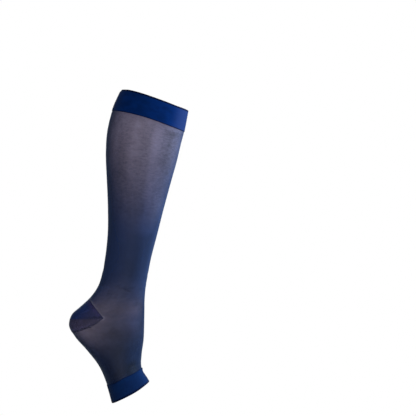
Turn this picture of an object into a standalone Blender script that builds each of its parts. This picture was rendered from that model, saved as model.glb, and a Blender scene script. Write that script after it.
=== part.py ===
"""Knee-high compression stocking with an open toe, filled out as it is on a leg.

Units are metres in Blender; the sizes below are written in millimetres and scaled once.
+Z is up, the toes point to +X, and the stocking is symmetric about the XZ plane.
The origin is the centre of the top opening, where the calf holds the stocking up.

Pieces: the opaque top band, the sheer leg and foot, the knitted heel pocket that fills
the gap at the back of the foot, and the opaque toe band. All are walls with open ends.
"""
import math
from typing import NamedTuple

import bmesh
import bpy
from mathutils import Vector

MM = 0.001

# Cloth, in millimetres
SHEER_WALL = 1.0
HEEL_WALL = 1.3
BAND_WALL = 1.8
BAND_PROUD = 0.7      # how far the doubled bands stand out past the sheer cloth
SEAM_GAP = 0.3        # between two pieces that are knitted or sewn together

# Mesh
POINTS_ROUND = 32     # corners in each section ring
BAND_ROWS = 4
LEG_ROWS = 20         # from the top band to the ankle
FOOT_ROWS = 30        # from the ankle, round the heel, to the toe band
POCKET_ROWS = 20      # from below the ankle to the arch
CURVE_STEPS = 5       # straight pieces in each curved edge of the heel pocket
SHARP_ANGLE = 40.0    # degrees; steeper edges, at the ends of the cloth, are shaded sharp

# Colours (linear) and surface
BAND_BLUE = (0.006, 0.018, 0.100)
SHEER_BLUE = (0.060, 0.062, 0.120)
HEEL_BLUE = (0.026, 0.026, 0.066)
BAND_ROUGHNESS = 0.75
SHEER_ROUGHNESS = 0.55


class Section(NamedTuple):
    """A plane section across the stocking, square to the XZ plane, in millimetres."""
    name: str
    back_x: float        # where it meets the line down the calf, round the heel and along the sole
    back_z: float
    front_x: float       # where it meets the line down the shin and over the instep
    front_z: float
    width: float         # side to side, along Y
    widest: float        # share of the depth from the back line to the widest place
    bluntness: float     # of the back half: 2 is an ellipse, more is blunter
    rise: float          # how far its two sides ride up the leg, out of the plane


SECTIONS = (
    #        name            back_x  back_z front_x front_z width widest blunt rise
    Section("top edge",       -56.5,   18.5,   56.5,  -18.5,  107, 0.47, 2.05, 0.3),
    Section("band edge",      -73.0,  -19.5,   49.5,  -55.3,  114, 0.46, 2.10, 3.0),
    Section("upper calf",     -81.6,  -52.0,   44.6,  -74.0,  115, 0.45, 2.15, 2.0),
    Section("full calf",      -84.7,  -89.5,   36.5, -107.0,  112, 0.45, 2.15, 0.0),
    Section("mid calf",       -83.3, -134.5,   25.0, -148.0,  101, 0.46, 2.10, 0.0),
    Section("low calf",       -81.2, -186.0,   11.8, -196.5,   86, 0.48, 2.05, 0.0),
    Section("above ankle",    -81.7, -230.5,    0.9, -239.5,   74, 0.50, 2.00, 0.0),
    Section("ankle",          -86.2, -272.0,   -8.9, -278.0,   65, 0.52, 2.00, 0.0),
    Section("below ankle",    -90.9, -298.5,  -13.3, -302.0,   62, 0.52, 2.00, 0.0),
    Section("heel tendon",    -97.3, -318.5,  -16.4, -318.5,   62, 0.51, 2.05, 0.0),
    Section("heel crown",    -111.4, -339.5,  -18.0, -335.0,   63, 0.50, 2.20, 0.0),
    Section("heel slope",    -128.6, -356.0,  -18.7, -348.5,   64, 0.48, 2.35, 0.0),
    Section("heel back",     -144.0, -372.0,  -18.9, -360.5,   64, 0.46, 2.45, 0.0),
    Section("heel point",    -148.3, -387.5,  -19.1, -373.5,   64, 0.45, 2.45, 0.0),
    Section("heel sole",     -138.5, -405.5,  -19.5, -388.0,   65, 0.44, 2.40, 0.0),
    Section("arch",          -116.5, -431.0,  -21.0, -413.0,   68, 0.43, 2.35, 0.0),
    Section("mid foot",       -96.2, -457.0,  -24.2, -438.0,   73, 0.42, 2.35, 0.8),
    Section("toe band edge",  -82.0, -488.7,  -23.4, -461.0,   79, 0.42, 2.40, 1.2),
    Section("toe edge",       -72.8, -520.0,  -10.6, -484.8,   84, 0.42, 2.40, 0.0),
)
NAMES = [section.name for section in SECTIONS]

# The side outline of the heel pocket, as (x, z): two edges that run back from its point
POCKET_POINT = (-87.5, -372.4)
POCKET_UPPER_BEND = (-99.0, -358.0)
POCKET_UPPER_END = (-112.5, -342.0)
POCKET_LOWER_BEND = (-109.0, -386.2)
POCKET_LOWER_END = (-139.5, -396.8)
POCKET_BEHIND = -175.0    # the cutters reach past the back of the heel, to this X
POCKET_UPPER_BEHIND = -312.0
POCKET_LOWER_BEHIND = -412.0
CUTTER_HALF_WIDTH = 60.0


# ---------------------------------------------------------------- smooth sections

def travel_stations():
    """How far along the stocking each section lies, by the longer of its two edges."""
    stations = [0.0]
    for above, below in zip(SECTIONS, SECTIONS[1:]):
        back = math.hypot(below.back_x - above.back_x, below.back_z - above.back_z)
        front = math.hypot(below.front_x - above.front_x, below.front_z - above.front_z)
        stations.append(stations[-1] + max(back, front))
    return stations


STATIONS = travel_stations()


def slope_at(index, column):
    """The slope of a column at a section, from the sections on both sides of it."""
    values = [section[column] for section in SECTIONS]
    last = len(values) - 1
    if index == 0:
        return (values[1] - values[0]) / (STATIONS[1] - STATIONS[0])
    if index == last:
        return (values[last] - values[last - 1]) / (STATIONS[last] - STATIONS[last - 1])
    before = STATIONS[index] - STATIONS[index - 1]
    after = STATIONS[index + 1] - STATIONS[index]
    slope_before = (values[index] - values[index - 1]) / before
    slope_after = (values[index + 1] - values[index]) / after
    return (slope_before * after + slope_after * before) / (before + after)


def section_at(station):
    """The section at a station, on a cubic curve through the table's rows."""
    index = 0
    while index < len(STATIONS) - 2 and STATIONS[index + 1] < station:
        index += 1
    span = STATIONS[index + 1] - STATIONS[index]
    t = (station - STATIONS[index]) / span
    start_weight = 2 * t**3 - 3 * t**2 + 1
    end_weight = 3 * t**2 - 2 * t**3
    start_slope_weight = (t**3 - 2 * t**2 + t) * span
    end_slope_weight = (t**3 - t**2) * span
    columns = [
        start_weight * SECTIONS[index][column]
        + end_weight * SECTIONS[index + 1][column]
        + start_slope_weight * slope_at(index, column)
        + end_slope_weight * slope_at(index + 1, column)
        for column in range(1, len(Section._fields))
    ]
    return Section("between", *columns)


def section_ring(section, lift=0.0):
    """The section's outline as points, moved by lift along the section's normal (up the leg)."""
    back = Vector((section.back_x, 0.0, section.back_z))
    front = Vector((section.front_x, 0.0, section.front_z))
    across = (front - back).normalized()
    upward = Vector((-across.z, 0.0, across.x))
    depth = (front - back).length
    middle = back + across * depth * section.widest + upward * lift
    points = []
    for corner in range(POINTS_ROUND):
        angle = 2 * math.pi * corner / POINTS_ROUND
        to_front = math.cos(angle)
        to_side = math.sin(angle)
        if to_front >= 0:
            reach = depth * (1 - section.widest) * to_front
            side = section.width / 2 * to_side
        else:
            power = 2 / section.bluntness
            reach = -depth * section.widest * abs(to_front) ** power
            side = section.width / 2 * math.copysign(abs(to_side) ** power, to_side)
        risen = upward * section.rise * to_side**2
        points.append(middle + across * reach + Vector((0.0, side, 0.0)) + risen)
    return points


def rows_between(name_from, name_to, rows):
    """Evenly spaced stations from one named section to another, both ends included."""
    start = STATIONS[NAMES.index(name_from)]
    end = STATIONS[NAMES.index(name_to)]
    return [start + (end - start) * row / rows for row in range(rows + 1)]


# ---------------------------------------------------------------- cloth walls

def surface_normals(rings):
    """An outward unit normal for each point of a grid of rings; end rings keep to their plane."""
    normals = []
    for row, ring in enumerate(rings):
        above = rings[max(row - 1, 0)]
        below = rings[min(row + 1, len(rings) - 1)]
        is_end = row in (0, len(rings) - 1)
        plane = (ring[POINTS_ROUND // 4] - ring[0]).cross(ring[POINTS_ROUND // 2] - ring[0]).normalized()
        ring_normals = []
        for corner in range(POINTS_ROUND):
            round_step = ring[(corner + 1) % POINTS_ROUND] - ring[corner - 1]
            down_step = below[corner] - above[corner]
            normal = down_step.cross(round_step).normalized()
            if is_end:
                normal = (normal - plane * normal.dot(plane)).normalized()
            ring_normals.append(normal)
        normals.append(ring_normals)
    return normals


def wall_mesh(name, rings, proud, wall):
    """A tube wall on the rings, from proud outside them to wall thickness further in."""
    normals = surface_normals(rings)
    mesh = bmesh.new()

    def layer(offset):
        return [
            [mesh.verts.new((point + normal * offset) * MM) for point, normal in zip(ring, ring_normals)]
            for ring, ring_normals in zip(rings, normals)
        ]

    outer = layer(proud)
    inner = layer(proud - wall)
    for corner in range(POINTS_ROUND):
        after = (corner + 1) % POINTS_ROUND
        for row in range(len(rings) - 1):
            mesh.faces.new((outer[row][corner], outer[row + 1][corner],
                            outer[row + 1][after], outer[row][after]))
            mesh.faces.new((inner[row][corner], inner[row][after],
                            inner[row + 1][after], inner[row + 1][corner]))
        for row in (0, len(rings) - 1):
            mesh.faces.new((outer[row][corner], outer[row][after],
                            inner[row][after], inner[row][corner]))
    bmesh.ops.recalc_face_normals(mesh, faces=mesh.faces)
    data = bpy.data.meshes.new(name)
    mesh.to_mesh(data)
    mesh.free()
    return data


def tube_rings(stations, top_lift=0.0, end_lift=0.0):
    """Section rings at the stations, with the first and last moved to leave seam gaps."""
    lifts = [0.0] * len(stations)
    lifts[0] = top_lift
    lifts[-1] = end_lift
    return [section_ring(section_at(station), lift) for station, lift in zip(stations, lifts)]


# ---------------------------------------------------------------- heel pocket outline

def curve_through(start, middle, end):
    """Points from start to end on a parabola through middle, without the start."""
    points = []
    for step in range(1, CURVE_STEPS + 1):
        t = step / CURVE_STEPS
        weights = (2 * (t - 0.5) * (t - 1), 4 * t * (1 - t), 2 * t * (t - 0.5))
        points.append(tuple(
            weights[0] * a + weights[1] * b + weights[2] * c for a, b, c in zip(start, middle, end)
        ))
    return points


def pocket_outline(outset):
    """The pocket's side outline as (x, z) points, grown by outset all round."""
    upper = curve_through(POCKET_POINT, POCKET_UPPER_BEND, POCKET_UPPER_END)
    lower = curve_through(POCKET_POINT, POCKET_LOWER_BEND, POCKET_LOWER_END)
    behind = [(POCKET_BEHIND, POCKET_UPPER_BEHIND), (POCKET_BEHIND, POCKET_LOWER_BEHIND)]
    outline = [POCKET_POINT, *upper, *behind, *reversed(lower)]
    grown = []
    for index, point in enumerate(outline):
        here = Vector(point)
        into = (here - Vector(outline[index - 1])).normalized()
        away = (Vector(outline[(index + 1) % len(outline)]) - here).normalized()
        out_before = Vector((into.y, -into.x))
        out_after = Vector((away.y, -away.x))
        miter = (out_before + out_after) / (1 + out_before.dot(out_after))
        grown.append(here + miter * outset)
    return grown


def pocket_cutter(name, outset):
    """The pocket's outline as a prism along Y, which shapes the cloth and isn't part of it."""
    outline = pocket_outline(outset)
    mesh = bmesh.new()
    near = [mesh.verts.new((p.x * MM, -CUTTER_HALF_WIDTH * MM, p.y * MM)) for p in outline]
    far = [mesh.verts.new((p.x * MM, CUTTER_HALF_WIDTH * MM, p.y * MM)) for p in outline]
    mesh.faces.new(near)
    mesh.faces.new(reversed(far))
    for index in range(len(outline)):
        before = index - 1
        mesh.faces.new((near[before], far[before], far[index], near[index]))
    bmesh.ops.recalc_face_normals(mesh, faces=mesh.faces)
    data = bpy.data.meshes.new(name)
    mesh.to_mesh(data)
    mesh.free()
    cutter = bpy.data.objects.new(name, data)
    bpy.context.scene.collection.objects.link(cutter)
    cutter.hide_render = True
    cutter.display_type = "WIRE"
    return cutter


# ---------------------------------------------------------------- objects

def cloth_material(name, color, roughness):
    material = bpy.data.materials.new(name)
    material.use_nodes = True
    shader = material.node_tree.nodes["Principled BSDF"]
    shader.inputs["Base Color"].default_value = (*color, 1.0)
    shader.inputs["Roughness"].default_value = roughness
    shader.inputs["Metallic"].default_value = 0.0
    return material


def cloth_piece(name, rings, proud, wall, material):
    """One named piece of cloth, smooth along its faces and sharp at its cut edges."""
    piece = bpy.data.objects.new(name, wall_mesh(name, rings, proud, wall))
    bpy.context.scene.collection.objects.link(piece)
    piece.data.materials.append(material)
    piece.data.shade_smooth()
    piece.data.set_sharp_from_angle(angle=math.radians(SHARP_ANGLE))
    return piece


def add_boolean(piece, operation, cutter):
    boolean = piece.modifiers.new(operation.title(), "BOOLEAN")
    boolean.operation = operation
    boolean.object = cutter
    boolean.solver = "EXACT"


def build_top_band(material):
    rings = tube_rings(rows_between("top edge", "band edge", BAND_ROWS), end_lift=SEAM_GAP / 2)
    cloth_piece("top_band", rings, BAND_PROUD, BAND_WALL, material)


def build_toe_band(material):
    rings = tube_rings(rows_between("toe band edge", "toe edge", BAND_ROWS), top_lift=-SEAM_GAP / 2)
    cloth_piece("toe_band", rings, BAND_PROUD, BAND_WALL, material)


def build_leg_and_foot(material):
    """The sheer tube from band to band, open at the back of the heel for the pocket."""
    leg = rows_between("band edge", "ankle", LEG_ROWS)
    foot = rows_between("ankle", "toe band edge", FOOT_ROWS)
    rings = tube_rings(leg + foot[1:], top_lift=-SEAM_GAP / 2, end_lift=SEAM_GAP / 2)
    tube = cloth_piece("leg_and_foot", rings, 0.0, SHEER_WALL, material)
    add_boolean(tube, "DIFFERENCE", pocket_cutter("pocket_hole", SEAM_GAP / 2))


def build_heel_pocket(material):
    """The thicker cloth that closes the hole at the heel, on the same form as the tube."""
    rings = tube_rings(rows_between("below ankle", "arch", POCKET_ROWS))
    pocket = cloth_piece("heel_pocket", rings, 0.0, HEEL_WALL, material)
    add_boolean(pocket, "INTERSECT", pocket_cutter("pocket_shape", -SEAM_GAP / 2))


def main():
    for thing in list(bpy.data.objects):
        bpy.data.objects.remove(thing, do_unlink=True)
    band = cloth_material("band_knit", BAND_BLUE, BAND_ROUGHNESS)
    sheer = cloth_material("sheer_knit", SHEER_BLUE, SHEER_ROUGHNESS)
    heel = cloth_material("heel_knit", HEEL_BLUE, SHEER_ROUGHNESS)
    build_top_band(band)
    build_leg_and_foot(sheer)
    build_heel_pocket(heel)
    build_toe_band(band)


main()
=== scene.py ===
"""Looks of a knee-high compression stocking: opaque bands, sheer knit leg, heel pocket, open toe.

The cloth is rebuilt as thin shells on the same sections as its solids. Sections and creases
are in millimetres, as on the cutting table; meshes, camera and lights are in metres.
The toes point to +X, and the side that the camera sees is -Y (angle -90 degrees).
"""
import math
from typing import NamedTuple

import bpy
import numpy as np
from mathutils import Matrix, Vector


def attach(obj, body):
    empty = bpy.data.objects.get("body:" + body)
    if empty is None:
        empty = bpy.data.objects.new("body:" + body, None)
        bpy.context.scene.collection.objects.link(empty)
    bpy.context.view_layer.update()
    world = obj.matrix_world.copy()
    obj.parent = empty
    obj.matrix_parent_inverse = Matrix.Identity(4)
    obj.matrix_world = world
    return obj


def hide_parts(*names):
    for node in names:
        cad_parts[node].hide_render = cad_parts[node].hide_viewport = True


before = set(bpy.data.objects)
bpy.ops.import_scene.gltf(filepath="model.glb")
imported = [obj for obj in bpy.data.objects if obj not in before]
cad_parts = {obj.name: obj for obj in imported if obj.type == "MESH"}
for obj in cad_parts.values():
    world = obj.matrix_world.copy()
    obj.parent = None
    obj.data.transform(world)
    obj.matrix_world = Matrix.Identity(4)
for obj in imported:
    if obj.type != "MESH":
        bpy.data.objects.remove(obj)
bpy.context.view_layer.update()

MM = 0.001


# -------- form of the stocking

class Section(NamedTuple):
    """A plane section across the stocking, square to the XZ plane, in millimetres."""
    name: str
    back_x: float        # where it meets the line down the calf, round the heel and along the sole
    back_z: float
    front_x: float       # where it meets the line down the shin and over the instep
    front_z: float
    width: float         # side to side, along Y
    widest: float        # share of the depth from the back line to the widest place
    bluntness: float     # of the back half: 2 is an ellipse, more is blunter
    rise: float          # how far its two sides ride up the leg, out of the plane
    open: float          # how far the knit is stretched open: 0 is closed, 1 most open


SECTIONS = [Section(*row) for row in (
    # name            back_x  back_z front_x front_z width widest blunt rise open
    ("top edge",       -56.5,   18.5,   56.5,  -18.5,  107, 0.47, 2.05, 0.3, 0.90),
    ("band edge",      -73.0,  -19.5,   49.5,  -55.3,  114, 0.46, 2.10, 3.0, 1.00),
    ("upper calf",     -81.6,  -52.0,   44.6,  -74.0,  115, 0.45, 2.15, 2.0, 1.00),
    ("full calf",      -84.7,  -89.5,   36.5, -107.0,  112, 0.45, 2.15, 0.0, 0.92),
    ("mid calf",       -83.3, -134.5,   25.0, -148.0,  101, 0.46, 2.10, 0.0, 0.72),
    ("low calf",       -81.2, -186.0,   11.8, -196.5,   86, 0.48, 2.05, 0.0, 0.40),
    ("above ankle",    -81.7, -230.5,    0.9, -239.5,   74, 0.50, 2.00, 0.0, 0.10),
    ("ankle",          -86.2, -272.0,   -8.9, -278.0,   65, 0.52, 2.00, 0.0, 0.00),
    ("below ankle",    -90.9, -298.5,  -13.3, -302.0,   62, 0.52, 2.00, 0.0, 0.06),
    ("heel tendon",    -97.3, -318.5,  -16.4, -318.5,   62, 0.51, 2.05, 0.0, 0.24),
    ("heel crown",    -111.4, -339.5,  -18.0, -335.0,   63, 0.50, 2.20, 0.0, 0.37),
    ("heel slope",    -128.6, -356.0,  -18.7, -348.5,   64, 0.48, 2.35, 0.0, 0.52),
    ("heel back",     -144.0, -372.0,  -18.9, -360.5,   64, 0.46, 2.45, 0.0, 0.52),
    ("heel point",    -148.3, -387.5,  -19.1, -373.5,   64, 0.45, 2.45, 0.0, 0.30),
    ("heel sole",     -138.5, -405.5,  -19.5, -388.0,   65, 0.44, 2.40, 0.0, 0.24),
    ("arch",          -116.5, -431.0,  -21.0, -413.0,   68, 0.43, 2.35, 0.0, 0.14),
    ("mid foot",       -96.2, -457.0,  -24.2, -438.0,   73, 0.42, 2.35, 0.8, 0.00),
    ("toe band edge",  -82.0, -488.7,  -23.4, -461.0,   79, 0.42, 2.40, 1.2, 0.00),
    ("toe edge",       -72.8, -520.0,  -10.6, -484.8,   84, 0.42, 2.40, 0.0, 0.00),
)]
NAMES = [section.name for section in SECTIONS]
COLUMNS = np.array([section[1:] for section in SECTIONS], float)


def section_stations():
    """How far along the stocking each section lies, by the longer of its back and front lines."""
    back = np.linalg.norm(np.diff(COLUMNS[:, 0:2], axis=0), axis=1)
    front = np.linalg.norm(np.diff(COLUMNS[:, 2:4], axis=0), axis=1)
    return np.concatenate([[0.0], np.cumsum(np.maximum(back, front))])


STATIONS = section_stations()


def section_slopes():
    """The slope of every column at each section, from the sections on both sides of it."""
    spans = np.diff(STATIONS)[:, None]
    between = np.diff(COLUMNS, axis=0) / spans
    inner = (between[:-1] * spans[1:] + between[1:] * spans[:-1]) / (spans[1:] + spans[:-1])
    return np.concatenate([between[:1], inner, between[-1:]])


SLOPES = section_slopes()


def station_of(name):
    """How far along the stocking the named section lies."""
    return STATIONS[NAMES.index(name)]


BAND_EDGE = station_of("band edge")
TOE_BAND_EDGE = station_of("toe band edge")
TOE_EDGE = station_of("toe edge")
GIRTH_CORNERS = 97  # points round the form for measuring its girth
GIRTH_STATIONS = np.linspace(0, TOE_EDGE, 160)


def columns_at(station):
    """The sections' columns at each station, on cubic curves through the table's rows."""
    index = np.clip(np.searchsorted(STATIONS, station) - 1, 0, len(STATIONS) - 2)
    span = STATIONS[index + 1] - STATIONS[index]
    t = ((station - STATIONS[index]) / span)[..., None]
    span = span[..., None]
    return (
        (2 * t**3 - 3 * t**2 + 1) * COLUMNS[index]
        + (3 * t**2 - 2 * t**3) * COLUMNS[index + 1]
        + (t**3 - 2 * t**2 + t) * span * SLOPES[index]
        + (t**3 - t**2) * span * SLOPES[index + 1]
    )


def form(station, angle):
    """Points of the stocking's form, in millimetres; angle 0 is the front, 90 degrees is +Y."""
    back_x, back_z, front_x, front_z, width, widest, bluntness, rise, _ = np.moveaxis(
        columns_at(station), -1, 0)
    depth = np.hypot(front_x - back_x, front_z - back_z)
    across_x = (front_x - back_x) / depth
    across_z = (front_z - back_z) / depth
    to_front = np.cos(angle)
    to_side = np.sin(angle)
    in_front = to_front >= 0
    power = np.where(in_front, 1.0, 2 / bluntness)
    half = np.where(in_front, 1 - widest, -widest)
    reach = depth * (widest + half * np.abs(to_front) ** power)
    side = width / 2 * np.sign(to_side) * np.abs(to_side) ** power
    risen = rise * to_side**2
    return np.stack([
        back_x + across_x * reach - across_z * risen,
        side,
        back_z + across_z * reach + across_x * risen,
    ], axis=-1)


def form_normals(station, angle, step=0.6, turn=0.012):
    """Outward unit normals of the form."""
    down = form(station + step, angle) - form(station - step, angle)
    around = form(station, angle + turn) - form(station, angle - turn)
    normals = np.cross(down, around)
    return normals / np.linalg.norm(normals, axis=-1, keepdims=True)


def girth_at(stations):
    """The distance round the form at each station."""
    angles = np.linspace(0, 2 * math.pi, GIRTH_CORNERS)
    corners = form(*np.meshgrid(stations, angles, indexing="ij"))
    return np.linalg.norm(np.diff(corners, axis=1), axis=2).sum(axis=1)


GIRTHS = girth_at(GIRTH_STATIONS)


def mean_radius(station):
    """The radius of a circle with the form's girth at each station."""
    return np.interp(station, GIRTH_STATIONS, GIRTHS) / (2 * math.pi)


def cloth_place(station, angle):
    """A place on the cloth as a cylinder of its real girth, seamless all round, in millimetres."""
    radius = mean_radius(station)
    return np.stack([radius * np.cos(angle), radius * np.sin(angle), station], axis=-1)


def smooth(low, high, value):
    """0 below low, 1 above high, and a smooth step between."""
    t = np.clip((value - low) / (high - low), 0, 1)
    return t * t * (3 - 2 * t)


def fall_off(away, half_width):
    """1 where away is 0, about a third at half_width on both sides, next to 0 at twice that."""
    return np.exp(-(away / half_width) ** 2)


def half_turn(angle):
    """The angle in radians without its full turns, between half a turn back and on."""
    return (angle + math.pi) % (2 * math.pi) - math.pi


def toward_front(angle, span):
    """0 to 1 on the way to the front, between the two cosines of the angle in span."""
    return smooth(*span, np.cos(angle))


def toward_back(angle, span):
    """The same on the way to the back."""
    return smooth(*span, -np.cos(angle))


# -------- creases and unevenness

class Crease(NamedTuple):
    """A soft ridge or trough between two places on the cloth."""
    station: float       # where it starts
    angle: float         # degrees from the front; -90 is the near side, 180 the back
    end_station: float
    end_angle: float
    height: float        # millimetres, below 0 for a trough
    half_width: float


LEG_CREASES = [Crease(*row) for row in (
    # under the top band, where the knit is drawn in
    (44, -96, 63, -84, -0.35, 4.0),
    (43, -62, 58, -50, -0.28, 3.4),
    (45, -128, 60, -138, -0.30, 4.2),
    (43, -20, 55, -27, 0.22, 3.0),
    (44, 35, 60, 46, -0.30, 3.6),
    (43, 84, 66, 96, -0.36, 4.2),
    (44, 122, 57, 112, 0.24, 3.2),
    (45, 164, 61, 170, -0.25, 3.8),
    # down the calf, long and faint
    (70, -92, 150, -80, 0.22, 7.0),
    (92, -58, 170, -66, -0.20, 6.0),
    (85, 70, 160, 82, 0.22, 7.0),
    (110, 105, 186, 96, -0.22, 6.5),
    # across the front and the sides of the ankle
    (318, -28, 322, 22, -0.45, 3.2),
    (326, -44, 331, -4, -0.38, 2.8),
    (333, 8, 329, 48, -0.36, 3.0),
    (343, -34, 346, 30, 0.30, 3.6),
    (347, -90, 361, -55, -0.55, 2.0),
    (351, -75, 347, -50, -0.35, 1.6),
    (349, -102, 337, -88, -0.32, 2.0),
    (333, -106, 346, -86, 0.26, 2.0),
    (355, -122, 367, -95, -0.34, 2.4),
    (350, -91, 400, -82, 0.26, 3.0),
    (348, 88, 362, 54, -0.50, 2.0),
    (338, 92, 350, 106, -0.30, 2.2),
    (352, 93, 396, 84, 0.24, 3.2),
    (356, -52, 352, -14, -0.22, 3.4),
    # behind the ankle
    (312, 150, 314, 205, -0.24, 3.4),
    (324, 160, 321, 215, 0.20, 3.0),
    # from the heel pocket over the side of the foot
    (386, -104, 372, -52, 0.30, 4.6),
    (406, -90, 412, -42, 0.13, 6.0),
    (388, 102, 376, 50, 0.30, 4.4),
    (402, 76, 410, 44, -0.16, 5.0),
    # above the toe band
    (541, -30, 531, -64, -0.18, 3.2),
    (543, 12, 534, 40, -0.34, 3.0),
    (540, 88, 530, 122, -0.24, 3.6),
    (542, -120, 532, -150, -0.24, 3.6),
)]


CREASE_FADES = (0.35, 0.6)   # a crease is full between these two shares of its length
STREAK_FADES = (0.12, 0.55)  # and a streak between these


def fading(share, fades):
    """1 between the two shares in fades, and 0 at both ends of the run."""
    full_from, full_to = fades
    return smooth(0, full_from, share) * (1 - smooth(full_to, 1, share))


def crease_relief(creases, station, angle):
    """The height in millimetres that the creases add at each place."""
    relief = np.zeros(np.shape(station))
    for crease in creases:
        radius = mean_radius((crease.station + crease.end_station) / 2)
        down = station - crease.station
        around = half_turn(angle - math.radians(crease.angle)) * radius
        run_down = crease.end_station - crease.station
        run_around = math.radians(crease.end_angle - crease.angle) * radius
        length = math.hypot(run_down, run_around)
        share = (down * run_down + around * run_around) / length**2
        aside = (down * run_around - around * run_down) / length
        relief += crease.height * fading(share, CREASE_FADES) * fall_off(aside, crease.half_width)
    return relief


class PaintedStreak(NamedTuple):
    """A soft stripe of painted light or painted shade down the leg."""
    station: float
    end_station: float
    angle: float         # degrees, where it starts
    end_angle: float     # and where it ends
    strength: float      # share of painted light added, below 0 for painted shade
    half_width: float    # degrees


STREAKS = [PaintedStreak(*row) for row in (
    # the near side
    (46, 262, -66, -60, 0.23, 7),
    (46, 165, -98, -93, 0.20, 7),
    (72, 195, -117, -114, -0.17, 8),
    (46, 160, -45, -41, -0.34, 12),
    (50, 150, -82, -80, -0.12, 7),
    (46, 130, -30, -27, -0.10, 12),
    (36, 78, -28, -28, -0.16, 20),
    (84, 152, -96, -90, -0.10, 12),
    (240, 340, -36, -33, -0.22, 12),
    (239, 365, -66, -62, -0.32, 24),
    (210, 286, -110, -106, 0.18, 15),
    (212, 276, -62, -58, 0.10, 14),
    (288, 368, -84, -76, -0.13, 22),
    # the far side, the shin and the back of the calf
    (48, 200, 61, 55, 0.24, 8),
    (46, 180, 99, 95, 0.20, 7),
    (50, 160, 80, 78, -0.08, 7),
    (52, 180, 118, 115, -0.16, 9),
    (100, 280, 37, 34, 0.15, 12),
    (242, 358, 66, 62, -0.22, 24),
    (52, 205, 141, 144, 0.14, 9),
    (50, 190, 172, 176, 0.16, 8),
    (58, 170, 203, 201, -0.10, 8),
    (54, 175, 8, 5, 0.12, 8),
    # the foot
    (338, 424, -142, -136, 0.36, 24),
    (356, 436, -97, -84, 0.12, 5),
    (376, 476, -49, -47, 0.12, 8),
    (340, 392, -82, -74, -0.14, 26),
    (410, 456, -54, -50, 0.17, 32),
    (446, 524, -72, -70, -0.12, 22),
    (390, 478, -74, -73, -0.12, 6),
    (396, 476, -38, -36, 0.30, 11),
    (430, 600, -68, -66, -0.15, 18),
    (520, 640, -50, -46, -0.42, 20),
    (425, 600, -130, -127, 0.26, 14),
    (340, 420, 141, 137, 0.26, 22),
    (356, 440, 95, 83, 0.16, 5),
    (370, 470, 50, 49, 0.22, 8),
    (344, 390, 78, 74, -0.09, 28),
    (411, 454, 56, 54, 0.15, 32),
    (392, 480, 75, 74, -0.11, 6),
    (396, 474, 38, 36, 0.22, 11),
    (432, 600, 70, 67, -0.14, 18),
    (430, 600, 128, 126, 0.18, 14),
)]
# the bands' streaks of painted light and shade run straight down, and far enough past both edges not to fade
TOP_BAND_STREAKS = [PaintedStreak(-60, 200, angle, angle, strength, 22) for angle, strength in (
    (-72, -0.20), (-158, 0.30), (72, -0.16), (158, 0.20),
)]
TOE_BAND_STREAKS = [PaintedStreak(440, 760, angle, angle, strength, width) for angle, strength, width in (
    (-23, 0.26, 10), (25, 0.22, 10), (-56, -0.14, 15), (-104, 0.14, 20),
)]


def streak_values(streaks, station, angle):
    """How much painted light or painted shade the streaks add at each place."""
    total = np.zeros(np.shape(station))
    for painted_light in streaks:
        share = np.clip((station - painted_light.station) / (painted_light.end_station - painted_light.station), 0, 1)
        middle = np.radians(painted_light.angle + (painted_light.end_angle - painted_light.angle) * share)
        away = np.degrees(half_turn(angle - middle))
        total += painted_light.strength * fading(share, STREAK_FADES) * fall_off(away, painted_light.half_width)
    return total


# each slow wave's share, millimetres along the leg for a radian, waves all round, bend and phase
WAVES = ((0.45, 17.0, 0, 1.3, 0.6), (0.30, 9.5, -3, 0.0, 2.1), (0.25, 31.0, 4, 0.0, 0.9))
BEND_PHASE = 0.4


def uneven(station, angle, size):
    """A slow unevenness of the cloth, within plus or minus size."""
    swing = np.sin(2 * angle + BEND_PHASE)
    return size * sum(share * np.sin(station / length + turns * angle + bend * swing + phase)
                      for share, length, turns, bend, phase in WAVES)


class Swell(NamedTuple):
    """A place where the cloth stands out a little further than its solid, or less far."""
    station: float
    reach: float         # along the stocking
    angle: float         # degrees from the front
    height: float        # millimetres, below 0 where it stands out less


SWELL_TURN = 60.0  # how far round a swell reaches, in degrees
SWELLS = (
    Swell(20, 50, 180, 1.1),     # behind the top of the calf
    Swell(290, 260, 0, 0.6),     # down the shin
    Swell(497, 42, 0, 0.95),     # over the instep
    Swell(562, 9, 0, -0.8),      # in front of the toes, below the roll of the band
    Swell(407, 13, 180, 0.8),    # behind the heel
    Swell(432, 10, 180, -0.55),  # under the heel
    Swell(585, 50, 180, 0.8),    # under the ball of the foot
)


def swell_at(station, angle):
    """How far the swells lift each place off the form, in millimetres."""
    total = np.zeros(np.shape(station))
    for swell in SWELLS:
        turn = np.degrees(half_turn(angle - math.radians(swell.angle)))
        down = station - swell.station
        total += swell.height * fall_off(down, swell.reach) * fall_off(turn, SWELL_TURN)
    return total


# -------- heel pocket outline

# places in the side view, as (x, z) in millimetres
POCKET_POINT = (-86.7, -373.2)
POCKET_UPPER_BEND = (-99.0, -358.0)
POCKET_UPPER_END = (-112.5, -342.0)
POCKET_LOWER_BEND = (-109.0, -387.3)
POCKET_LOWER_END = (-139.5, -398.4)
POCKET_UPPER_BEHIND = (-175.0, -312.0)
POCKET_LOWER_BEHIND = (-175.0, -412.0)
SUTURE_BACK = (-160.0, -377.5)   # the line where the pocket's two wedges meet ends here
POCKET_NOTCH = (-110.2, -387.6)  # a stitch drawn tight on the lower edge


def through(start, middle, end, steps=14):
    """Points from start to end on a parabola through middle."""
    t = np.linspace(0, 1, steps)[:, None]
    return 2 * (t - 0.5) * (t - 1) * start + 4 * t * (1 - t) * middle + 2 * t * (t - 0.5) * end


UPPER_EDGE = np.vstack([through(POCKET_POINT, POCKET_UPPER_BEND, POCKET_UPPER_END),
                        POCKET_UPPER_BEHIND])
LOWER_EDGE = np.vstack([through(POCKET_POINT, POCKET_LOWER_BEND, POCKET_LOWER_END),
                        POCKET_LOWER_BEHIND])


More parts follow.
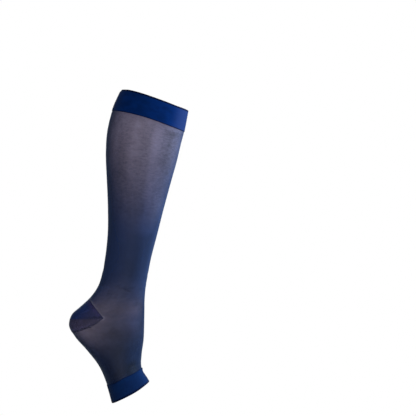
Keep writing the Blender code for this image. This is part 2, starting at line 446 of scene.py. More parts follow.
def line_distance(points, line):
    """The distance of each (x, z) point from a line of points, in millimetres."""
    nearest = np.full(points.shape[:-1], np.inf)
    for start, end in zip(line[:-1], line[1:]):
        run = end - start
        share = np.clip(((points - start) @ run) / (run @ run), 0, 1)
        gap = np.linalg.norm(points - start - share[..., None] * run, axis=-1)
        nearest = np.minimum(nearest, gap)
    return nearest


def in_pocket(points):
    """Whether each (x, z) point lies between the pocket's two edges."""
    outline = np.vstack([UPPER_EDGE, LOWER_EDGE[::-1]])
    inside = np.zeros(points.shape[:-1], bool)
    x, z = points[..., 0], points[..., 1]
    for (x0, z0), (x1, z1) in zip(outline, np.roll(outline, -1, axis=0)):
        if z0 == z1:
            continue
        crosses = (z0 > z) != (z1 > z)
        inside ^= crosses & (x < x0 + (z - z0) * (x1 - x0) / (z1 - z0))
    return inside


def side_view(station, angle):
    """Each place's x and z."""
    return form(station, angle)[..., [0, 2]]


def distance_from(place, station, angle):
    """How far each place is from one (x, z) place, in the side view."""
    return np.linalg.norm(side_view(station, angle) - np.array(place), axis=-1)


def pocket_depth(station, angle):
    """How far inside the heel pocket's outline each place lies; below 0 outside it."""
    points = side_view(station, angle)
    away = np.minimum(line_distance(points, UPPER_EDGE), line_distance(points, LOWER_EDGE))
    return np.where(in_pocket(points), away, -away)


def above_suture(station, angle):
    """How far above the suture each place lies, in the side view; below 0 under it."""
    away = side_view(station, angle) - np.array(POCKET_POINT)
    run_x, run_z = np.subtract(SUTURE_BACK, POCKET_POINT) / math.dist(SUTURE_BACK, POCKET_POINT)
    return away[..., 0] * run_z - away[..., 1] * run_x


# -------- sizes of the cloth

LEG_AROUND = 144    # corners round the leg
FINE_AROUND = 192   # corners round the bands and the heel pocket
NEAR_CUT = 0.05     # a corner nearer a cut than this counts as kept
SHARP_ANGLE = 50.0  # degrees; an edge sharper than this isn't smoothed

# the leg and foot
LEG_STEP = 1.62              # between rows of corners
SHEER_THICKNESS = 0.5
TOP_TUCK = 1.6               # how far the leg runs into the top band,
TOE_TUCK = 4.2               # and into the toe band
LEG_UNEVENNESS = 0.12
TOP_FLATTENING = 6.0         # creases die away this near the top band,
TOE_FLATTENING = 5.0         # the toe band,
POCKET_FLATTENING = 3.0      # and the edge of the heel pocket
CREASE_SHADE = 0.35          # painted light and shade along a crease: share of light added per millimetre of height, darker in troughs
HEEL_OPENING = (0.58, 0.12)  # how much more open the knit is under and over the pocket
HEEL_BLEND = 6.0             # how far from the suture the one becomes the other
HEEL_REACH = 46.0
HEEL_SIDE_SHARE = 0.38       # of that, beside the foot rather than at its back
HEEL_SPAN = (-0.35, 0.45)    # between these cosines from the back
SHIN_OPENING = 0.20          # how much more open the knit is down the shin
SHIN_MIDDLE = 207.0
SHIN_REACH = 36.0
SHIN_SPAN = (0.3, 0.8)       # cosines from the front
INSTEP_SHARE = 0.30          # how open the knit is over the instep, against its sides
INSTEP_SPAN = (0.92, 0.998)
TOE_FRONT_SPAN = (0.0, 0.7)
TOES_FULL = 12.0             # how far above the toe band the toes' looks begin in full
# between these the leg's looks pass into the foot's, and the foot's into the toes'
FOOT_STATIONS = (station_of("heel tendon"), station_of("heel back"))
TOES_STATIONS = (station_of("heel sole"), TOE_BAND_EDGE - TOES_FULL)

# the heel pocket
POCKET_STEP = 1.2
POCKET_THICKNESS = 0.7
POCKET_PROUD = 0.12
POCKET_UNEVENNESS = 0.10
SUTURE_RIDGE = 0.35              # height of the ridge along the suture
SUTURE_RIDGE_WIDTH = 0.9
EDGE_RIDGE = 0.25                # and of the one just inside the pocket's edges
EDGE_RIDGE_WIDTH = 0.8
POCKET_BACK_SPAN = (0.25, 0.95)  # cosines from the back

# the bands
BAND_THICKNESS = 1.7
BAND_PROUD = 0.7
BAND_UNEVENNESS = 0.10
BAND_SHEEN_SPAN = (0.60, 0.92)
WELT_STEP = 1.5            # between rows of corners
FOLD_STEPS = 9             # rows in each rounded fold of a band
CORNER_SPAN = (0.70, 1.0)  # the top band's back corner, in cosines from the back,
CORNER_CURL = 1.6          # is worn round: it turns in,
CORNER_CURL_REACH = 7.0
CORNER_DROP = 1.3          # and it drops
CORNER_DROP_REACH = 14.0
ROLL_HEIGHT = 0.8          # the roll of the toe band over the instep
ROLL_HALF_TURN = 0.55      # radians
ROLL_MIDDLE = 2.2          # from the band's edge
ROLL_WIDTH = 2.4
SAG_REACH = 10.0           # how far into a band the sag of its edge goes
# where each edge sags, alike on both sides: millimetres, degrees from the front, degrees wide
TOP_JOINED_SAGS = ((0.8, 55, 25),)
TOP_FREE_SAGS = ((-0.9, 108, 28), (0.5, 48, 14))
TOE_JOINED_SAGS = ((2.2, 106, 20), (1.1, 58, 22))
TOE_FREE_SAGS = ((1.6, 66, 34),)


# -------- meshes

class Cloth(NamedTuple):
    """A sheet of cloth as places on the form and the faces between them."""
    station: np.ndarray
    angle: np.ndarray
    faces: list


def rows(start, end, step):
    """Stations from start to end, about step apart."""
    return np.linspace(start, end, round((end - start) / step) + 1)


def rings(stations, around):
    """The station and the angle of each corner, in grids with a row for each station."""
    return np.meshgrid(stations, np.arange(around) * 2 * math.pi / around, indexing="ij")


def tube_cloth(stations, around, keep):
    """A tube of cloth through the stations, cut along the line where keep is 0."""
    grid_station, grid_angle = rings(stations, around)
    value = keep(grid_station, grid_angle)
    value = np.where(np.abs(value) < NEAR_CUT, NEAR_CUT, value)
    kept = value > 0
    number = np.full(value.shape, -1)
    number[kept] = np.arange(kept.sum())
    station, angle = list(grid_station[kept]), list(grid_angle[kept])
    cuts = {}

    def cut(first, second):
        """The vertex where the cut crosses the edge between two grid corners."""
        low, high = sorted((first, second))
        if (low, high) not in cuts:
            share = value[low] / (value[low] - value[high])
            turn = half_turn(grid_angle[high] - grid_angle[low])
            cuts[low, high] = len(station)
            station.append(grid_station[low] * (1 - share) + grid_station[high] * share)
            angle.append(grid_angle[low] + turn * share)
        return cuts[low, high]

    faces = []
    for row in range(len(stations) - 1):
        for column in range(around):
            after = (column + 1) % around
            corners = ((row, column), (row + 1, column), (row + 1, after), (row, after))
            face = []
            for corner, following in zip(corners, corners[1:] + corners[:1]):
                if kept[corner]:
                    face.append(int(number[corner]))
                if kept[corner] != kept[following]:
                    face.append(cut(corner, following))
            if face:
                faces.append(face)
    return Cloth(np.array(station), np.array(angle), faces)


def rim_edges(faces):
    """The edges with one face, as (first, second) in that face's own direction."""
    ways = {}
    for face in faces:
        for first, second in zip(face, face[1:] + face[:1]):
            key = (min(first, second), max(first, second))
            ways[key] = None if key in ways else (first, second)
    return [way for way in ways.values() if way is not None]


def add_object(name, data):
    """A new object in the scene."""
    added = bpy.data.objects.new(name, data)
    bpy.context.scene.collection.objects.link(added)
    return added


def add_mesh(name, points, faces, station, angle, values):
    """A smooth mesh piece with cloth coordinates, UVs and its own named values."""
    mesh = bpy.data.meshes.new(name)
    mesh.from_pydata((points * MM).tolist(), [], faces)
    layer = mesh.attributes.new("cloth", "FLOAT_VECTOR", "POINT")
    layer.data.foreach_set("vector", cloth_place(station, angle).astype(np.float32).ravel())
    for key, numbers in values.items():
        layer = mesh.attributes.new(key, "FLOAT", "POINT")
        layer.data.foreach_set("value", np.asarray(numbers, np.float32))
    corners = np.empty(len(mesh.loops), np.int32)
    mesh.loops.foreach_get("vertex_index", corners)
    starts = np.empty(len(mesh.polygons), np.int32)
    mesh.polygons.foreach_get("loop_start", starts)
    first = np.repeat(corners[starts], np.diff(np.append(starts, len(corners))))
    turn = half_turn(angle[corners] - angle[first])
    places = np.stack([(angle[first] + turn) / (2 * math.pi), station[corners] * MM], axis=1)
    mesh.uv_layers.new(name="knit").data.foreach_set("uv", places.astype(np.float32).ravel())
    mesh.shade_smooth()
    mesh.set_sharp_from_angle(angle=math.radians(SHARP_ANGLE))
    return add_object(name, mesh)


def add_shell(name, cloth, relief, thickness, values):
    """A closed thin shell: the cloth's inner face, its outer face and the rims between."""
    base = form(cloth.station, cloth.angle)
    normals = form_normals(cloth.station, cloth.angle)
    outer = base + normals * relief[:, None]
    inner = base + normals * (relief - thickness)[:, None]
    count = len(base)
    faces = [list(reversed(face)) for face in cloth.faces]
    faces += [[corner + count for corner in face] for face in cloth.faces]
    faces += [[second + count, first + count, first, second]
              for first, second in rim_edges(cloth.faces)]
    values = {key: np.tile(numbers, 2) for key, numbers in values.items()}
    values["inside"] = np.repeat([1.0, 0.0], count)
    return add_mesh(name, np.concatenate([inner, outer]), faces,
                    np.tile(cloth.station, 2), np.tile(cloth.angle, 2), values)


def add_welt(name, profile, relief, slide, streaks, values):
    """A doubled band: a closed profile of (station, height) points swept round the form.

    relief lifts its points off the form, and slide moves them down along it, in millimetres.
    """
    station, angle = rings(profile[:, 0], FINE_AROUND)
    height = profile[:, 1:] + relief(station, angle) + swell_at(station, angle)
    station = station + slide(station, angle)
    points = form(station, angle) + form_normals(station, angle) * height[..., None]
    number = np.arange(angle.size).reshape(angle.shape)
    below = np.roll(number, -1, axis=0)
    faces = np.stack([number, below, np.roll(below, -1, axis=1), np.roll(number, -1, axis=1)], axis=-1)
    values = {key: np.repeat(numbers, FINE_AROUND) for key, numbers in values.items()}
    values["painted_light"] = streak_values(streaks, station, angle).ravel()
    # where a band's painted sheen lies, towards the front
    values["front"] = toward_front(angle, BAND_SHEEN_SPAN).ravel()
    return add_mesh(name, points.reshape(-1, 3), faces.reshape(-1, 4).tolist(),
                    station.ravel(), angle.ravel(), values)


# -------- pieces

def finish_piece(piece, node, material):
    """The piece takes its material, stands for its CAD node and rides on the one body."""
    piece.data.materials.append(material)
    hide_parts(node)
    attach(piece, "root")
    return piece


def welt_profile(start, end):
    """The closed section of a doubled band: outer face, fold, inner face, fold."""
    radius = BAND_THICKNESS / 2
    middle = BAND_PROUD - radius
    flat = rows(start + radius, end - radius, WELT_STEP)
    bend = np.linspace(0, math.pi, FOLD_STEPS + 2)[1:-1]
    along = radius * np.sin(bend)
    up = radius * np.cos(bend)
    return np.concatenate([
        np.stack([flat, np.full_like(flat, middle + radius)], axis=1),
        np.stack([flat[-1] + along, middle + up], axis=1),
        np.stack([flat[::-1], np.full_like(flat, middle - radius)], axis=1),
        np.stack([flat[0] - along, middle - up], axis=1),
    ])


def sag_at(sags, angle, from_edge):
    """How far the sags of a band's edge move a place down the leg."""
    turn = np.degrees(np.abs(half_turn(angle)))
    total = sum(depth * fall_off(turn - middle, half_width) for depth, middle, half_width in sags)
    return total * (1 - smooth(0, SAG_REACH, from_edge))


def at_corner(station, angle, reach):
    """1 on the top band's fold at the very back, 0 at its sides and at reach below the fold."""
    return toward_back(angle, CORNER_SPAN) * (1 - smooth(0, reach, station))


def build_top_band(material):
    def relief(station, angle):
        curl = CORNER_CURL * at_corner(station, angle, CORNER_CURL_REACH)
        return uneven(station, angle, BAND_UNEVENNESS) - curl

    def slide(station, angle):
        drop = CORNER_DROP * at_corner(station, angle, CORNER_DROP_REACH)
        joined = sag_at(TOP_JOINED_SAGS, angle, BAND_EDGE - station)
        return drop + joined + sag_at(TOP_FREE_SAGS, angle, station)

    profile = welt_profile(0.0, BAND_EDGE)
    values = {"from_fold": profile[:, 0], "from_join": BAND_EDGE - profile[:, 0]}
    piece = add_welt("top_band_welt", profile, relief, slide, TOP_BAND_STREAKS, values)
    return finish_piece(piece, "top_band", material)


def build_toe_band(material):
    def relief(station, angle):
        roll = ROLL_HEIGHT * fall_off(half_turn(angle), ROLL_HALF_TURN)
        roll *= fall_off(station - TOE_BAND_EDGE - ROLL_MIDDLE, ROLL_WIDTH)
        return uneven(station, angle, BAND_UNEVENNESS) + roll

    def slide(station, angle):
        joined = sag_at(TOE_JOINED_SAGS, angle, station - TOE_BAND_EDGE)
        return joined + sag_at(TOE_FREE_SAGS, angle, TOE_EDGE - station)

    profile = welt_profile(TOE_BAND_EDGE, TOE_EDGE)
    values = {"from_fold": TOE_EDGE - profile[:, 0], "from_join": profile[:, 0] - TOE_BAND_EDGE}
    piece = add_welt("toe_band_welt", profile, relief, slide, TOE_BAND_STREAKS, values)
    return finish_piece(piece, "toe_band", material)


def pocket_values(station, angle):
    """Where each place lies against the heel pocket's lines."""
    return {
        "pocket": pocket_depth(station, angle),
        "above_suture": above_suture(station, angle),
        "from_point": distance_from(POCKET_POINT, station, angle),
        "from_notch": distance_from(POCKET_NOTCH, station, angle),
    }


def openness_at(station, angle, foot, depth, suture):
    """How far the leg's knit is stretched open at each place: 0 is closed, 1 most open."""
    openness = np.clip(columns_at(station)[..., -1], 0, 1)
    under, over = HEEL_OPENING
    at_heel = under + (over - under) * smooth(-HEEL_BLEND, HEEL_BLEND, suture)
    at_heel *= fall_off(np.minimum(depth, 0), HEEL_REACH)
    at_heel *= HEEL_SIDE_SHARE + (1 - HEEL_SIDE_SHARE) * toward_back(angle, HEEL_SPAN)
    on_shin = SHIN_OPENING * fall_off(station - SHIN_MIDDLE, SHIN_REACH)
    on_shin *= toward_front(angle, SHIN_SPAN)
    instep = 1 - (1 - INSTEP_SHARE) * foot * toward_front(angle, INSTEP_SPAN)
    return np.clip((openness + at_heel + on_shin) * instep, 0, 1)


def build_leg(material):
    stations = rows(BAND_EDGE - TOP_TUCK, TOE_BAND_EDGE + TOE_TUCK, LEG_STEP)
    cloth = tube_cloth(stations, LEG_AROUND, lambda station, angle: -pocket_depth(station, angle))
    station, angle = cloth.station, cloth.angle
    values = pocket_values(station, angle)
    depth = values["pocket"]
    creases = crease_relief(LEG_CREASES, station, angle)
    relief = creases + uneven(station, angle, LEG_UNEVENNESS)
    relief *= smooth(0, TOP_FLATTENING, station - BAND_EDGE)
    relief *= smooth(0, TOE_FLATTENING, TOE_BAND_EDGE - station)
    relief *= smooth(0, POCKET_FLATTENING, -depth)
    relief += swell_at(station, angle)
    foot = smooth(*FOOT_STATIONS, station)
    toes = smooth(*TOES_STATIONS, station)
    values |= {
        "openness": openness_at(station, angle, foot, depth, values["above_suture"]),
        "from_band": station - BAND_EDGE,
        "to_toe_band": TOE_BAND_EDGE - station,
        "foot": foot,
        "toes": toes,
        "toe_front": toes * toward_front(angle, TOE_FRONT_SPAN),
        # painted light and shade: the streaks, and the painted shade along the creases
        "painted_light": streak_values(STREAKS, station, angle) + CREASE_SHADE * creases,
    }
    piece = add_shell("leg_and_foot_knit", cloth, relief, SHEER_THICKNESS, values)
    return finish_piece(piece, "leg_and_foot", material)


def build_heel_pocket(material):
    stations = rows(station_of("below ankle"), station_of("arch"), POCKET_STEP)
    cloth = tube_cloth(stations, FINE_AROUND, pocket_depth)
    station, angle = cloth.station, cloth.angle
    values = pocket_values(station, angle)
    depth = values["pocket"]
    relief = uneven(station, angle, POCKET_UNEVENNESS) * smooth(0, POCKET_FLATTENING, depth)
    relief += SUTURE_RIDGE * fall_off(values["above_suture"], SUTURE_RIDGE_WIDTH)
    relief += EDGE_RIDGE * fall_off(depth - EDGE_RIDGE_WIDTH, EDGE_RIDGE_WIDTH)
    relief += swell_at(station, angle) + POCKET_PROUD
    values |= {
        "from_upper_edge": line_distance(side_view(station, angle), UPPER_EDGE),
        "behind": toward_back(angle, POCKET_BACK_SPAN),
    }
    piece = add_shell("heel_pocket_knit", cloth, relief, POCKET_THICKNESS, values)
    return finish_piece(piece, "heel_pocket", material)


# -------- materials

class Nodes:
    """Short calls for the node tree of a material or a world."""

    def __init__(self, owner, shader="Principled BSDF", output="Material Output"):
        owner.use_nodes = True
        self.owner = owner
        self.tree = owner.node_tree
        self.shader = self.tree.nodes[shader]
        self.output = self.tree.nodes[output]

    def fill(self, node, inputs):
        """Links or sets the node's inputs, by name or number."""
        for key, value in inputs.items():
            if isinstance(value, bpy.types.NodeSocket):
                self.tree.links.new(value, node.inputs[key])
            else:
                node.inputs[key].default_value = value

    def add(self, kind, inputs=None, **settings):
        node = self.tree.nodes.new(kind)
        for key, value in settings.items():
            setattr(node, key, value)
        self.fill(node, inputs or {})
        return node

    def attribute(self, name, output="Fac"):
        return self.add("ShaderNodeAttribute", attribute_name=name).outputs[output]

    def math(self, operation, first, second=0.0, clamp=False):
        inputs = {0: first, 1: second}
        return self.add("ShaderNodeMath", inputs, operation=operation, use_clamp=clamp).outputs[0]

    def chain(self, operation, values):
        """The operation on the values, one after another."""
        result, *others = values
        for other in others:
            result = self.math(operation, result, other)
        return result

    def plus(self, *values):
        return self.chain("ADD", values)

    def times(self, *values):
        return self.chain("MULTIPLY", values)

    def most(self, *values):
        return self.chain("MAXIMUM", values)

    def remap(self, value, low, high, at_low=0.0, at_high=1.0, way="SMOOTHSTEP"):
        inputs = {"Value": value, "From Min": low, "From Max": high, "To Min": at_low, "To Max": at_high}
        return self.add("ShaderNodeMapRange", inputs, interpolation_type=way).outputs[0]

    def ramp(self, name, ramp):
        """The share that a ramp gives for one of the mesh's named values."""
        return self.remap(self.attribute(name), *ramp)

    def line(self, name, line):
        """The same for a soft line."""
        away = self.math("ABSOLUTE", self.math("SUBTRACT", self.attribute(name), line.middle))
        return self.remap(away, 0.0, line.half_width, 1.0, 0.0)

    def mix(self, share, first, second):
        """Two colours, each a link or a plain colour, mixed."""
        colors = [(*value, 1.0) if isinstance(value, tuple) else value for value in (first, second)]
        return self.add("ShaderNodeMix", {0: share, 6: colors[0], 7: colors[1]}, data_type="RGBA").outputs[2]

    def blend(self, share, first, second):
        """The same for two numbers."""
        return self.add("ShaderNodeMix", {0: share, 2: first, 3: second}, data_type="FLOAT").outputs[0]

    def scaled_by(self, color, share):
        return self.add("ShaderNodeVectorMath", {0: color, "Scale": share}, operation="SCALE").outputs[0]

    def lighter(self, color, share):
        """The colour with that share of light added."""
        return self.scaled_by(color, self.plus(1.0, share))

    def noise(self, scale, detail=2.0, roughness=0.55):
        """Soft noise over the cloth, as fine as scale says, per millimetre."""
        inputs = {0: self.attribute("cloth", "Vector"), 1: scale}
        place = self.add("ShaderNodeVectorMath", inputs, operation="MULTIPLY").outputs[0]
        inputs = {"Vector": place, "Scale": 1.0, "Detail": detail, "Roughness": roughness}
        return self.add("ShaderNodeTexNoise", inputs).outputs["Fac"]

    def spread(self, noise, depth):
        """A noise as a number within plus or minus depth."""
        return self.remap(noise, *NOISE_RANGE, -depth, depth, way="LINEAR")

    def wales(self, count, strength):
        """Knit wales as ribs along the leg, count of them all round."""
        uv = self.add("ShaderNodeUVMap", uv_map="knit").outputs[0]
        around = self.add("ShaderNodeSeparateXYZ", {0: uv}).outputs[0]
        return self.times(self.math("SINE", self.times(around, 2 * math.pi * count)), strength)

    def bump(self, height, strength, distance):
        inputs = {"Height": height, "Strength": strength, "Distance": distance}
        self.fill(self.shader, {"Normal": self.add("ShaderNodeBump", inputs).outputs[0]})


# linear colours
YARN = (0.0105, 0.0210, 0.0660)             # the navy yarn of the leg
YARN_FOOT = (0.0075, 0.0130, 0.0400)
INLAY = (0.2450, 0.2050, 0.2820)            # the lighter inside of the knit, seen between the yarns
INLAY_FOOT = (0.2400, 0.1970, 0.2650)
INLAY_TOES = (0.1300, 0.1450, 0.2400)
INLAY_TOE_FRONT = (0.0300, 0.0880, 0.2400)  # the same over the front half of the foot
POCKET_EDGE_LIGHT = (0.1100, 0.1150, 0.1500)
BAND_NAVY = (0.0003, 0.0135, 0.0860)
BAND_DEEP = (0.0002, 0.0100, 0.0620)
BAND_PAINTED_SHEEN = (0.0100, 0.0225, 0.0900)        # painted sheen, towards the top band's front over the shin
TOE_NAVY = (0.0021, 0.0112, 0.0490)
TOE_DEEP = (0.0021, 0.0096, 0.0430)
# painted shade along the bands' edges
FOLD_SHADE = (0.0010, 0.0030, 0.0200)
HEEL_UPPER = (0.0165, 0.0190, 0.0640)
HEEL_BACK = (0.0085, 0.0215, 0.0950)        # of the upper wedge, down the back
HEEL_VIOLET = (0.0235, 0.0210, 0.0740)      # of the upper wedge, along its front edge
HEEL_LOWER = (0.0340, 0.0300, 0.0640)
HEEL_LINE = (0.0060, 0.0075, 0.0270)
SHEEN_TINT = (0.35, 0.55, 1.0, 1.0)
SHEEN_ROUGHNESS = 0.45
YARN_LET_THROUGH = (0.125, 0.70)            # share of light between the yarns, closed and fully open
INLAY_LET_THROUGH = (0.08, 0.12)            # share of light through the inside of the knit
HEEL_LET_THROUGH = 0.20
LEAST_FACING = 0.12                         # past this slant a face gets no denser

# noises: how fine they are per millimetre, and their depth as a share of light
NOISE_RANGE = (0.3, 0.7)            # nearly all of a noise lies between these
COURSE_SCALE = (0.16, 0.16, 0.36)   # along the courses
COURSE_DEPTH = 0.14
WALE_SCALE = (0.15, 0.15, 0.008)
WALE_DEPTH = 0.06
CLOUD_SCALE = (0.035, 0.035, 0.030)
CLOUD_DEPTH = 0.08
BLOTCH_SCALE = (0.10, 0.10, 0.085)  # the foot's own, blotchy rather than striped
BLOTCH_DEPTH = 0.11
MOTTLE_SCALE = (0.16, 0.16, 0.16)   # of the heel pocket
MOTTLE_DEPTH = 0.18
HEEL_COURSE_SCALE = (0.02, 0.02, 0.5)
BAND_CLOUD_SCALE = (0.05, 0.05, 0.09)
BAND_GRAIN_SCALE = (0.9, 0.9, 0.5)
BAND_WALES = 260                    # ribs all round


class Ramp(NamedTuple):
    """A share that passes smoothly from one value to another between two distances."""
    low: float
    high: float
    at_low: float = 0.0
    at_high: float = 1.0


class Line(NamedTuple):
    """A soft line: full where a distance is middle, gone at half_width on both sides."""
    middle: float
    half_width: float


# of the leg and foot
OPEN_UNEVENNESS = Ramp(0.05, 0.6, 0.35, 1.0)  # less uneven where the knit is closed,
FOOT_UNEVENNESS = Ramp(0.0, 1.0, 1.0, 0.5)    # and on the foot
POINT_HALO = Line(2.4, 2.4)                   # light, round the heel pocket's point
POINT_LIGHT = 0.45
UNDER_BAND = Line(2.2, 2.2)                   # light, under the top band
UNDER_BAND_LIGHT = 0.03
TOES_LIGHT = 0.66                             # how light the knit is at the toes
TOE_FRONT_SHARE = 0.65
TOE_JOIN = Ramp(0.0, 5.0, 0.8, 0.0)           # dark, above the toe band
POCKET_HALO = Line(-1.3, 1.5)                 # light, round the pocket,
HALO_SHARE = Ramp(-6.0, 2.0, 0.05, 0.5)       # most of all above the suture
STITCHES = Line(-0.7, 1.3)                    # dark, along the pocket's lower edge
STITCHES_SHARE = Ramp(-9.0, -3.0, 0.75, 0.0)
NOTCH_OUTSIDE = Ramp(1.4, 4.0, 0.90, 0.0)

# of the bands
BAND_CLOUDS = Ramp(0.35, 0.65)
FOLD_EDGE_SHADE = Ramp(2.2, 4.2, 0.97, 0.0)  # painted shade, along the free edge
JOIN_EDGE_SHADE = Ramp(0.8, 2.2, 0.75, 0.0)  # and along the joined one

# of the heel pocket
VIOLET_EDGE = Ramp(2.0, 11.0, 0.9, 0.0)  # along the upper edge
LOWER_BACK_SHARE = 0.12
WEDGE_CHANGE = Ramp(-1.2, 1.2)           # across the suture
LOWER_RIM = Line(4.6, 3.4)               # light, inside the lower edge
LOWER_RIM_LIGHT = Ramp(-13.0, -7.0, 0.42, 0.0)
SUTURE_LINE = Line(1.6, 4.2)             # dark, fainter away from the point
SUTURE_SHARE = Ramp(8.0, 46.0, 0.74, 0.12)
POCKET_EDGE_LINE = Ramp(0.8, 2.0, 0.55, 0.0)
POINT_SPOT = Ramp(1.0, 4.5, 0.85, 0.0)
NOTCH_INSIDE = Ramp(1.2, 3.4, 0.70, 0.0)


def knit_surface(nodes, color, roughness, sheen, gloss=0.10):
    nodes.fill(nodes.shader, {
        "Base Color": color,
        "Roughness": roughness,
        "Specular IOR Level": gloss,
        "Sheen Weight": sheen,
        "Sheen Roughness": SHEEN_ROUGHNESS,
        "Sheen Tint": SHEEN_TINT,
    })


def see_through(nodes, let_through):
    """Alpha of one face of a sheer wall, denser where the wall is seen at a slant."""
    weight = nodes.add("ShaderNodeLayerWeight", {"Blend": 0.5})
    facing = nodes.math("SUBTRACT", 1.0, weight.outputs["Facing"])
    path = nodes.math("DIVIDE", 1.0, nodes.most(facing, LEAST_FACING))
    through_face = nodes.math("POWER", let_through, path)
    nodes.fill(nodes.shader, {"Alpha": nodes.math("SUBTRACT", 1.0, through_face, clamp=True)})


def sheer_material():
    nodes = Nodes(bpy.data.materials.new("sheer_knit"))
    openness = nodes.attribute("openness")
    inside = nodes.attribute("inside")
    foot = nodes.attribute("foot")
    toes = nodes.attribute("toes")
    toe_front = nodes.attribute("toe_front")
    courses = nodes.noise(COURSE_SCALE, roughness=0.5)
    stripes = nodes.plus(
        nodes.spread(courses, COURSE_DEPTH),
        nodes.spread(nodes.noise(WALE_SCALE), WALE_DEPTH),
        nodes.spread(nodes.noise(CLOUD_SCALE), CLOUD_DEPTH),
    )
    # one number for how much lighter the knit is here, its random tone plus the painted light and shade of
    # the streaks and creases: 0 is even, a tenth is clearly seen
    light = nodes.plus(
        nodes.times(stripes, nodes.ramp("openness", OPEN_UNEVENNESS), nodes.ramp("foot", FOOT_UNEVENNESS)),
        nodes.times(nodes.spread(nodes.noise(BLOTCH_SCALE), BLOTCH_DEPTH), foot),
        nodes.attribute("painted_light"),
        nodes.times(nodes.line("from_point", POINT_HALO), POINT_LIGHT),
        nodes.times(nodes.line("from_band", UNDER_BAND), UNDER_BAND_LIGHT),
    )
    yarn = nodes.mix(foot, YARN, YARN_FOOT)
    yarn = nodes.mix(nodes.times(toe_front, TOE_FRONT_SHARE), yarn, TOE_NAVY)
    yarn = nodes.mix(nodes.ramp("to_toe_band", TOE_JOIN), yarn, TOE_DEEP)
    halo = nodes.times(nodes.line("pocket", POCKET_HALO), nodes.ramp("above_suture", HALO_SHARE))
    yarn = nodes.mix(halo, yarn, POCKET_EDGE_LIGHT)
    inlay = nodes.mix(toes, nodes.mix(foot, INLAY, INLAY_FOOT), INLAY_TOES)
    inlay = nodes.mix(toe_front, inlay, INLAY_TOE_FRONT)
    stitches = nodes.times(nodes.line("pocket", STITCHES), nodes.ramp("above_suture", STITCHES_SHARE))
    notch = nodes.ramp("from_notch", NOTCH_OUTSIDE)
    color = nodes.mix(nodes.most(stitches, notch), nodes.mix(inside, yarn, inlay), HEEL_LINE)
    color = nodes.scaled_by(nodes.lighter(color, light), nodes.blend(toes, 1.0, TOES_LIGHT))
    knit_surface(nodes, color, roughness=0.55, sheen=0.10)
    yarn_through = nodes.blend(openness, *YARN_LET_THROUGH)
    inlay_through = nodes.blend(openness, *INLAY_LET_THROUGH)
    see_through(nodes, nodes.blend(inside, yarn_through, inlay_through))
    nodes.bump(courses, strength=0.3, distance=0.0002)
    return nodes.owner


def band_material(name, navy, deep, painted_sheen):
    nodes = Nodes(bpy.data.materials.new(name))
    clouds = nodes.remap(nodes.noise(BAND_CLOUD_SCALE, detail=4.0), *BAND_CLOUDS)
    # painted sheen mixed in towards the front; the toe band's is its own navy
    color = nodes.mix(nodes.attribute("front"), nodes.mix(clouds, deep, navy), painted_sheen)
    # painted shade along the band's free and joined edges
    edges = nodes.most(nodes.ramp("from_fold", FOLD_EDGE_SHADE), nodes.ramp("from_join", JOIN_EDGE_SHADE))
    color = nodes.mix(edges, color, FOLD_SHADE)
    # painted light and shade of the band's streaks
    color = nodes.lighter(color, nodes.attribute("painted_light"))
    knit_surface(nodes, color, roughness=0.7, sheen=0.07, gloss=0.01)
    grain = nodes.plus(nodes.noise(BAND_GRAIN_SCALE), nodes.wales(BAND_WALES, strength=0.3))
    nodes.bump(grain, strength=0.5, distance=0.0003)
    return nodes.owner


def heel_material():
    nodes = Nodes(bpy.data.materials.new("heel_knit"))
    behind = nodes.attribute("behind")
    upper = nodes.mix(behind, HEEL_UPPER, HEEL_BACK)
    upper = nodes.mix(nodes.ramp("from_upper_edge", VIOLET_EDGE), upper, HEEL_VIOLET)
    lower = nodes.mix(nodes.times(behind, LOWER_BACK_SHARE), HEEL_LOWER, HEEL_UPPER)
    color = nodes.mix(nodes.ramp("above_suture", WEDGE_CHANGE), lower, upper)
    color = nodes.lighter(color, nodes.spread(nodes.noise(MOTTLE_SCALE), MOTTLE_DEPTH))
    rim = nodes.times(nodes.line("pocket", LOWER_RIM), nodes.ramp("above_suture", LOWER_RIM_LIGHT))
    color = nodes.lighter(color, rim)
    dark = nodes.most(
        nodes.times(nodes.line("above_suture", SUTURE_LINE), nodes.ramp("from_point", SUTURE_SHARE)),
        nodes.ramp("pocket", POCKET_EDGE_LINE),
        nodes.ramp("from_point", POINT_SPOT),
        nodes.ramp("from_notch", NOTCH_INSIDE),
    )
    knit_surface(nodes, nodes.mix(dark, color, HEEL_LINE), roughness=0.6, sheen=0.10)
    see_through(nodes, HEEL_LET_THROUGH)
    nodes.bump(nodes.noise(HEEL_COURSE_SCALE, detail=4.0), strength=0.3, distance=0.0002)
    return nodes.owner


# -------- camera, stage and light

CAMERA_DISTANCE = 2.6
FRAME_WIDTH = 0.7155  # what the frame spans at the stocking
FRAME_MIDDLE = (0.0909, -0.1860)
SENSOR = 36.0
FLOOR_HEIGHT = -0.60
FLOOR_HALF = 12.0
FLOOR_COLOR = (0.35, 0.35, 0.35, 1.0)
FLOOR_ROUGHNESS = 0.9
AMBIENT = (0.80, 0.88, 1.0, 1.0)
AMBIENT_STRENGTH = 0.12
WHITE = (1.0, 1.0, 1.0, 1.0)
LIGHT_AIM = (-0.04, 0.0, -0.24)
LIGHTS = (
    # name, place, size, watts and colour of each soft square light
    ("front_fill", (0.35, -2.4, 0.3), 1.5, 49.0, (1.0, 0.98, 0.95)),
    ("right_rim", (1.15, -0.05, 0.35), 0.7, 41.0, (0.66, 0.85, 0.97)),
    ("back_fill", (-0.1, 2.4, 0.4), 1.5, 29.0, (0.85, 0.92, 1.0)),
)


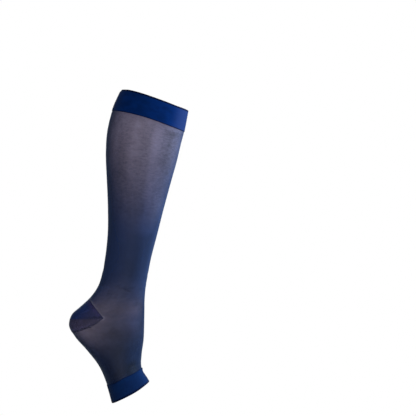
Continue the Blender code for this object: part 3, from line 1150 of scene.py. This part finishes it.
def add_camera():
    data = bpy.data.cameras.new("camera")
    data.sensor_width = SENSOR
    data.lens = SENSOR * CAMERA_DISTANCE / FRAME_WIDTH
    data.clip_end = 50.0
    camera = add_object("camera", data)
    camera.location = (FRAME_MIDDLE[0], -CAMERA_DISTANCE, FRAME_MIDDLE[1])
    camera.rotation_euler = (math.radians(90), 0, 0)
    bpy.context.scene.camera = camera


def white_to_camera(nodes, kind):
    """Mixes white from a node of that kind, for rays from the camera, over the shader."""
    path = nodes.add("ShaderNodeLightPath")
    white = nodes.add(kind, {"Color": WHITE, "Strength": 1.0})
    inputs = {0: path.outputs["Is Camera Ray"], 1: nodes.shader.outputs[0], 2: white.outputs[0]}
    nodes.fill(nodes.output, {"Surface": nodes.add("ShaderNodeMixShader", inputs).outputs[0]})


def add_world():
    nodes = Nodes(bpy.data.worlds.new("studio"), "Background", "World Output")
    nodes.fill(nodes.shader, {"Color": AMBIENT, "Strength": AMBIENT_STRENGTH})
    white_to_camera(nodes, "ShaderNodeBackground")
    bpy.context.scene.world = nodes.owner


def add_floor():
    mesh = bpy.data.meshes.new("floor")
    corners = [(x * FLOOR_HALF, y * FLOOR_HALF, FLOOR_HEIGHT)
               for x, y in ((-1, -1), (1, -1), (1, 1), (-1, 1))]
    mesh.from_pydata(corners, [], [(0, 1, 2, 3)])
    nodes = Nodes(bpy.data.materials.new("floor"))
    nodes.fill(nodes.shader, {"Base Color": FLOOR_COLOR, "Roughness": FLOOR_ROUGHNESS})
    white_to_camera(nodes, "ShaderNodeEmission")
    mesh.materials.append(nodes.owner)
    floor = add_object("floor", mesh)


def add_lights():
    for name, location, size, power, color in LIGHTS:
        data = bpy.data.lights.new(name, "AREA")
        data.size = size
        data.energy = power
        data.color = color
        light = add_object(name, data)
        light.location = location
        aim = Vector(LIGHT_AIM) - Vector(location)
        light.rotation_euler = aim.to_track_quat("-Z", "Y").to_euler()


# -------- the scene

def main():
    add_camera()
    add_world()
    add_floor()
    add_lights()
    scene = bpy.context.scene
    scene.view_settings.view_transform = "Standard"
    scene.view_settings.look = "None"
    top = build_top_band(band_material("top_band_knit", BAND_NAVY, BAND_DEEP, BAND_PAINTED_SHEEN))
    leg = build_leg(sheer_material())
    heel = build_heel_pocket(heel_material())
    toe = build_toe_band(band_material("toe_band_knit", TOE_NAVY, TOE_DEEP, TOE_NAVY))


main()
